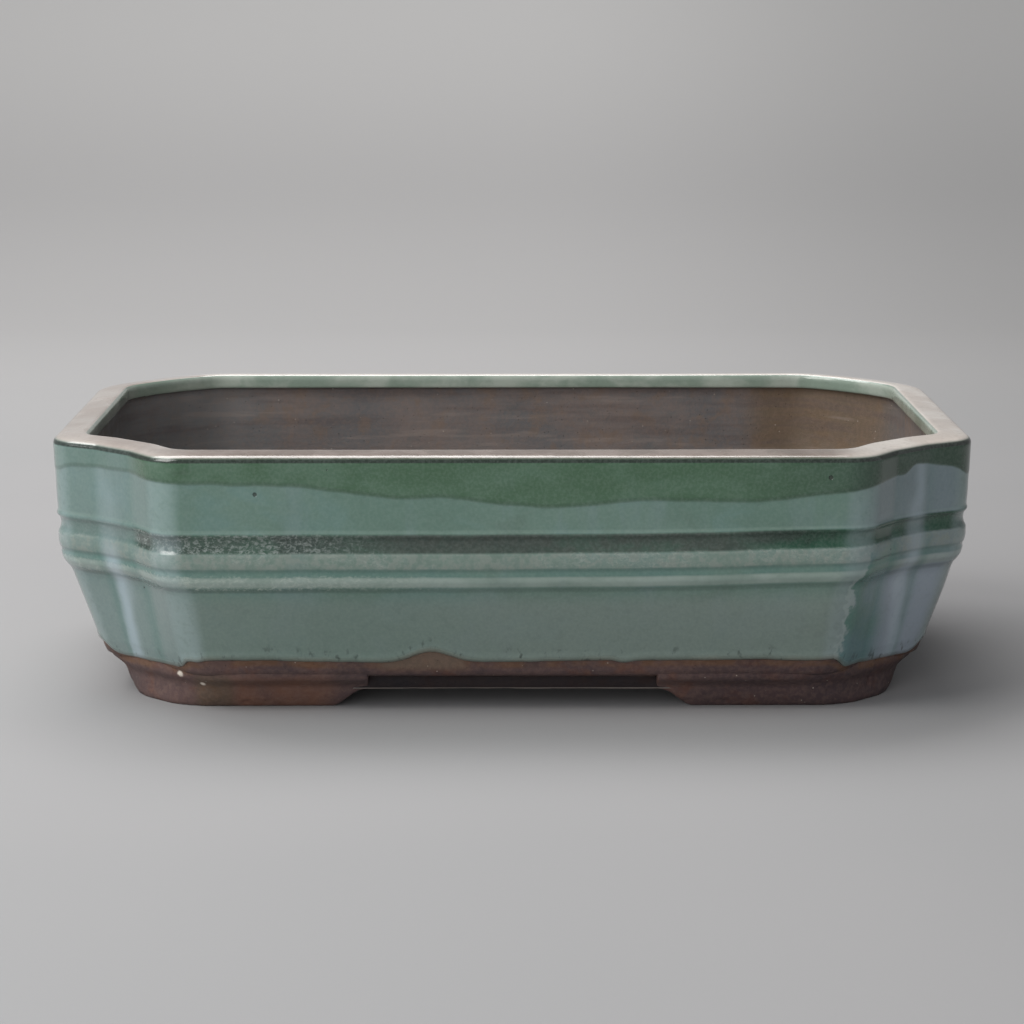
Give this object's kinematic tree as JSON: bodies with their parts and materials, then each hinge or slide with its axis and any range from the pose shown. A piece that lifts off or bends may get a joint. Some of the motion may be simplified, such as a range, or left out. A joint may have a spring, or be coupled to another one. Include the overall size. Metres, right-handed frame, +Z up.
{
  "type": "bonsai pot",
  "caption": "Shallow rectangular glazed stoneware bonsai pot with cut corners, a flat lip, a raised belt, corner feet and screened drain holes in its floor.",
  "frame": {"origin": "middle of the plane the pot stands on", "axes": "+X along the length, front face toward -Y, +Z up through the opening"},
  "size_m": [0.302, 0.201, 0.0874],
  "materials": {
    "clay": "unglazed purple-brown stoneware, matt",
    "glaze": "glossy grey-green celadon, darker where it pools",
    "mesh": "moulded black mesh",
    "wire": "copper-brown anodised annealed wire"
  },
  "bodies": {
    "root": {"floor_slab": "clay", "wall_front": "clay", "wall_back": "clay", "wall_left": "clay", "wall_right": "clay", "corner_front_left": "clay", "corner_front_right": "clay", "corner_back_left": "clay", "corner_back_right": "clay", "lip_strip": "clay", "belt_band": "clay", "string_bead": "clay", "seam_coil": "clay", "foot_front_left": "clay", "foot_front_right": "clay", "foot_back_left": "clay", "foot_back_right": "clay", "glaze_coat": "glaze", "drain_screen_left": "mesh", "drain_screen_right": "mesh", "screen_clip_left": "wire", "screen_clip_right": "wire"}
  },
  "joints": []
}
